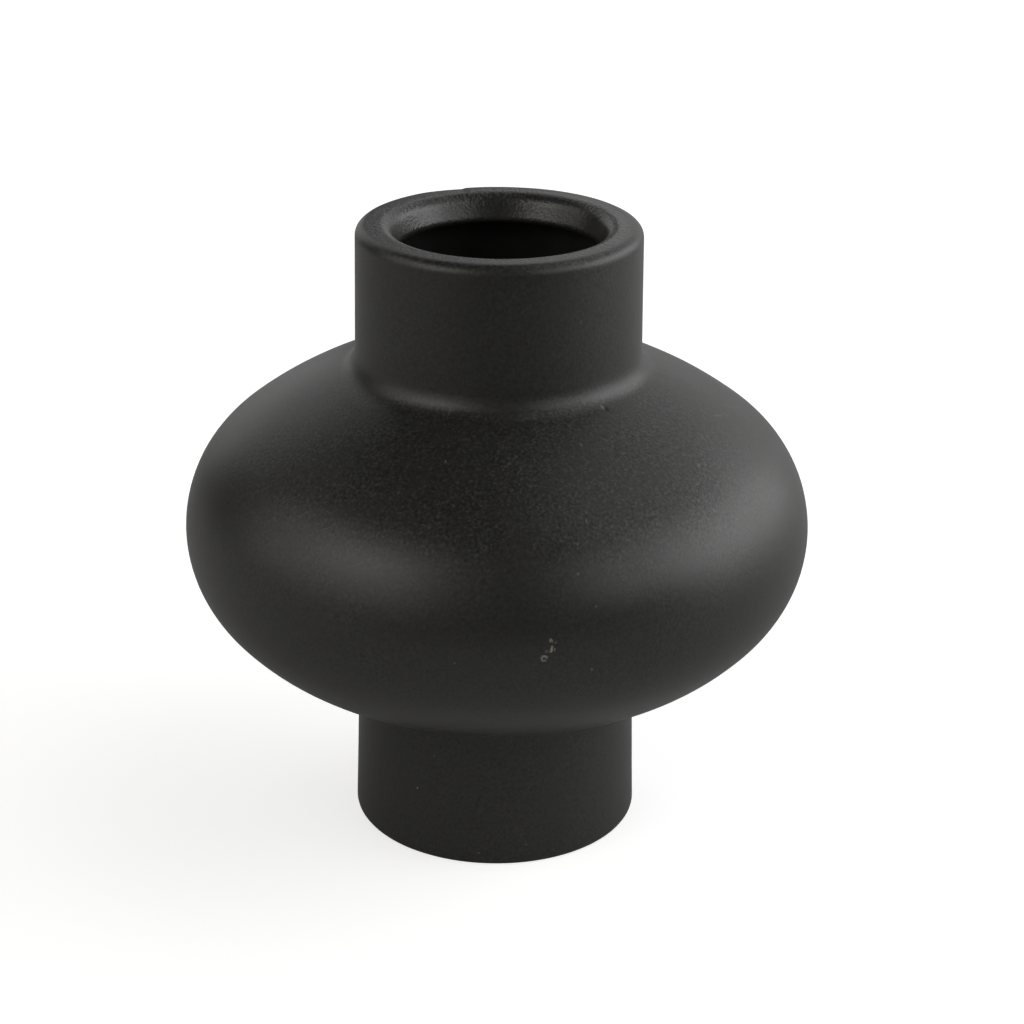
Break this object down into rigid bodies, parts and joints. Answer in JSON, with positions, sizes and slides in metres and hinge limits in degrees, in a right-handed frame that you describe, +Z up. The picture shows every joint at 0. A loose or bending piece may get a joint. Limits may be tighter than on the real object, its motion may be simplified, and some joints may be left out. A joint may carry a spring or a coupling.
{
  "type": "candle jar",
  "caption": "Empty ceramic candle jar: flattened round belly on a straight foot, straight neck with a thick flat lip, open mouth; matt outside, glazed inside.",
  "frame": {"origin": "centre of the standing face under the foot", "axes": "+Z up along the jar's axis, out of the mouth; X and Y lie in the standing face"},
  "size_m": [0.13, 0.13, 0.1303],
  "materials": {
    "stoneware": "bare fired clay, fine grained",
    "slip": "fired slip, fine grained",
    "matt_black": "matt, finely speckled",
    "gloss_black": "gloss glaze"
  },
  "bodies": {
    "root": {"vessel_shell": "stoneware", "lip_ring": "stoneware", "joint_slip": "slip", "matt_coat": "matt_black", "liner_glaze": "gloss_black"}
  },
  "joints": []
}
